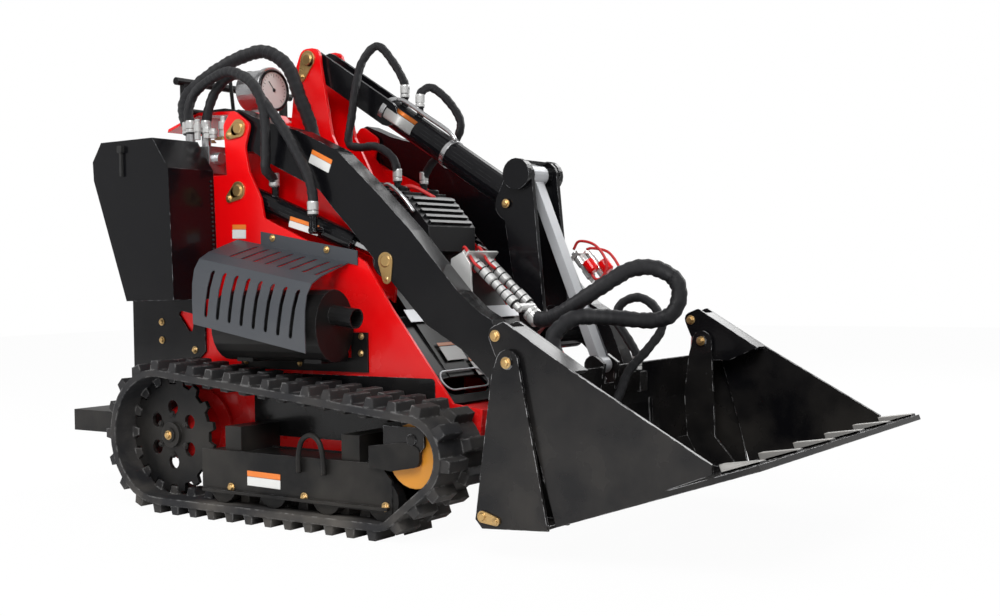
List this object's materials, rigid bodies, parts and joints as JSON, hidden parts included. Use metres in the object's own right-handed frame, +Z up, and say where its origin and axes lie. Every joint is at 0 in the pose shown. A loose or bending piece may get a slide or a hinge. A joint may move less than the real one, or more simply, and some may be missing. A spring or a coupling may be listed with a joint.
{
  "type": "compact tracked skid steer loader with self-levelling lift arm and clam bucket",
  "caption": "Stand-on compact loader on rubber tracks: a pair of lift arms carries a bucket whose clam half opens.",
  "frame": {"origin": "centre of the bounding box's base, on the ground between the tracks", "axes": "+X towards the bucket, +Y to the machine's left, +Z up"},
  "size_m": [2.427, 1.106, 1.3508],
  "materials": {
    "bare_steel": "ground",
    "black_paint": "satin",
    "engine_metal": "cast",
    "grey_paint": "satin",
    "hose_sleeve": "matt",
    "red_paint": "gloss",
    "silver_paint": "satin",
    "track_rubber": "matt",
    "yellow_paint": "satin",
    "yellow_zinc": "satin"
  },
  "bodies": {
    "chassis": {"chassis": "red_paint", "hood": "red_paint", "centre_tower": "red_paint", "front_panel": "black_paint", "engine": "engine_metal", "platform": "black_paint", "exhaust_guard": "grey_paint", "muffler": "black_paint", "control_valve": "bare_steel", "track_right": "track_rubber", "sprocket_right": "black_paint", "idler_right": "yellow_paint", "track_frame_right": "black_paint", "side_box_right": "black_paint", "track_left": "track_rubber", "sprocket_left": "black_paint", "idler_left": "yellow_paint", "track_frame_left": "black_paint", "side_box_left": "black_paint", "grab_bar": "black_paint", "gauge_drum": "silver_paint", "lift_hoses": "hose_sleeve", "tilt_hoses": "hose_sleeve"},
    "lift_arms": {"lift_arm_right": "grey_paint", "lift_arm_left": "grey_paint", "arm_cross_tube": "black_paint", "couplers": "bare_steel", "bucket_hoses": "hose_sleeve"},
    "rocker_carrier": {"rocker_pin": "yellow_zinc"},
    "rocker": {"rocker": "black_paint"},
    "link_carrier": {"link_pin": "yellow_zinc"},
    "bucket_link": {"bucket_link": "silver_paint"},
    "hitch_carrier": {"hitch_pin": "yellow_zinc"},
    "bucket": {"bucket_back": "black_paint"},
    "clam": {"bucket_clam": "black_paint"},
    "tilt_barrel": {"tilt_barrel": "black_paint"},
    "tilt_rod": {"tilt_rod": "bare_steel"},
    "lift_barrel_right": {"lift_barrel_right": "black_paint"},
    "lift_rod_right": {"lift_rod_right": "bare_steel"},
    "clam_barrel_right": {"clam_barrel_right": "black_paint"},
    "clam_rod_right": {"clam_rod_right": "bare_steel"},
    "lift_barrel_left": {"lift_barrel_left": "black_paint"},
    "lift_rod_left": {"lift_rod_left": "bare_steel"},
    "clam_barrel_left": {"clam_barrel_left": "black_paint"},
    "clam_rod_left": {"clam_rod_left": "bare_steel"}
  },
  "joints": [
    {"name": "lift", "type": "hinge", "parent": "chassis", "child": "lift_arms", "pos_m": [-0.4635, 0, 1.08], "axis": [0, -1, 0], "range_deg": [-3, 75]},
    {"name": "rocker_level", "type": "hinge", "parent": "lift_arms", "child": "rocker_carrier", "pos_m": [0.3655, 0, 0.54], "axis": [0, -1, 0], "range_deg": [-60, 5]},
    {"name": "rocker_tilt", "type": "hinge", "parent": "rocker_carrier", "child": "rocker", "pos_m": [0.3655, 0, 0.54], "axis": [0, 1, 0], "range_deg": [0, 30]},
    {"name": "link_level", "type": "hinge", "parent": "rocker", "child": "link_carrier", "pos_m": [0.3315, 0, 0.925], "axis": [0, -1, 0], "range_deg": [-5, 35]},
    {"name": "link_tilt", "type": "hinge", "parent": "link_carrier", "child": "bucket_link", "pos_m": [0.3315, 0, 0.925], "axis": [0, -1, 0], "range_deg": [0, 20]},
    {"name": "bucket_level", "type": "hinge", "parent": "lift_arms", "child": "hitch_carrier", "pos_m": [0.4765, 0, 0.255], "axis": [0, -1, 0], "range_deg": [-75, 5]},
    {"name": "tilt", "type": "hinge", "parent": "hitch_carrier", "child": "bucket", "pos_m": [0.4765, 0, 0.255], "axis": [0, 1, 0], "range_deg": [0, 48], "deforming": ["bucket_hoses"]},
    {"name": "clam_open", "type": "hinge", "parent": "bucket", "child": "clam", "pos_m": [0.6085, 0, 0.456], "axis": [0, -1, 0], "range_deg": [0, 60]},
    {"name": "tilt_barrel_swing", "type": "hinge", "parent": "chassis", "child": "tilt_barrel", "pos_m": [-0.4235, 0, 1.305], "axis": [0, -1, 0], "range_deg": [-5, 85], "deforming": ["tilt_hoses"]},
    {"name": "tilt_rod_slide", "type": "slide", "parent": "tilt_barrel", "child": "tilt_rod", "axis": [0.8441, 0, -0.5362], "range_m": [0, 0.135]},
    {"name": "lift_barrel_swing_right", "type": "hinge", "parent": "chassis", "child": "lift_barrel_right", "pos_m": [-0.4705, 0, 0.9035], "axis": [0, -1, 0], "range_deg": [-5, 75], "deforming": ["lift_hoses"]},
    {"name": "lift_rod_slide_right", "type": "slide", "parent": "lift_barrel_right", "child": "lift_rod_right", "axis": [0.9334, 0, -0.3589], "range_m": [-0.01, 0.21]},
    {"name": "clam_barrel_swing_right", "type": "hinge", "parent": "bucket", "child": "clam_barrel_right", "pos_m": [0.5365, 0, 0.1], "axis": [0, -1, 0], "range_deg": [0, 6]},
    {"name": "clam_rod_slide_right", "type": "slide", "parent": "clam_barrel_right", "child": "clam_rod_right", "axis": [0.0743, 0, 0.9972], "range_m": [-0.064, 0]},
    {"name": "lift_barrel_swing_left", "type": "hinge", "parent": "chassis", "child": "lift_barrel_left", "pos_m": [-0.4705, 0, 0.9035], "axis": [0, -1, 0], "range_deg": [-5, 75]},
    {"name": "lift_rod_slide_left", "type": "slide", "parent": "lift_barrel_left", "child": "lift_rod_left", "axis": [0.9334, 0, -0.3589], "range_m": [-0.01, 0.21]},
    {"name": "clam_barrel_swing_left", "type": "hinge", "parent": "bucket", "child": "clam_barrel_left", "pos_m": [0.5365, 0, 0.1], "axis": [0, -1, 0], "range_deg": [0, 6]},
    {"name": "clam_rod_slide_left", "type": "slide", "parent": "clam_barrel_left", "child": "clam_rod_left", "axis": [0.0743, 0, 0.9972], "range_m": [-0.064, 0]}
  ],
  "couplings": [
    {"joint": "rocker_level", "follows": "lift", "ratio": -0.735},
    {"joint": "rocker_tilt", "follows": "tilt", "ratio": 0.57},
    {"joint": "link_level", "follows": "lift", "ratio": 0.407},
    {"joint": "link_tilt", "follows": "tilt", "ratio": 0.346},
    {"joint": "bucket_level", "follows": "lift", "ratio": -0.916},
    {"joint": "tilt_barrel_swing", "follows": "lift", "ratio": 1.108},
    {"joint": "tilt_rod_slide", "follows": "tilt", "m_per_rad": 0.159},
    {"joint": "lift_barrel_swing_right", "follows": "lift", "ratio": 0.942},
    {"joint": "lift_rod_slide_right", "follows": "lift", "m_per_rad": 0.16},
    {"joint": "clam_barrel_swing_right", "follows": "clam_open", "ratio": 0.085},
    {"joint": "clam_rod_slide_right", "follows": "clam_open", "m_per_rad": -0.06},
    {"joint": "lift_barrel_swing_left", "follows": "lift", "ratio": 0.942},
    {"joint": "lift_rod_slide_left", "follows": "lift", "m_per_rad": 0.16},
    {"joint": "clam_barrel_swing_left", "follows": "clam_open", "ratio": 0.085},
    {"joint": "clam_rod_slide_left", "follows": "clam_open", "m_per_rad": -0.06}
  ]
}
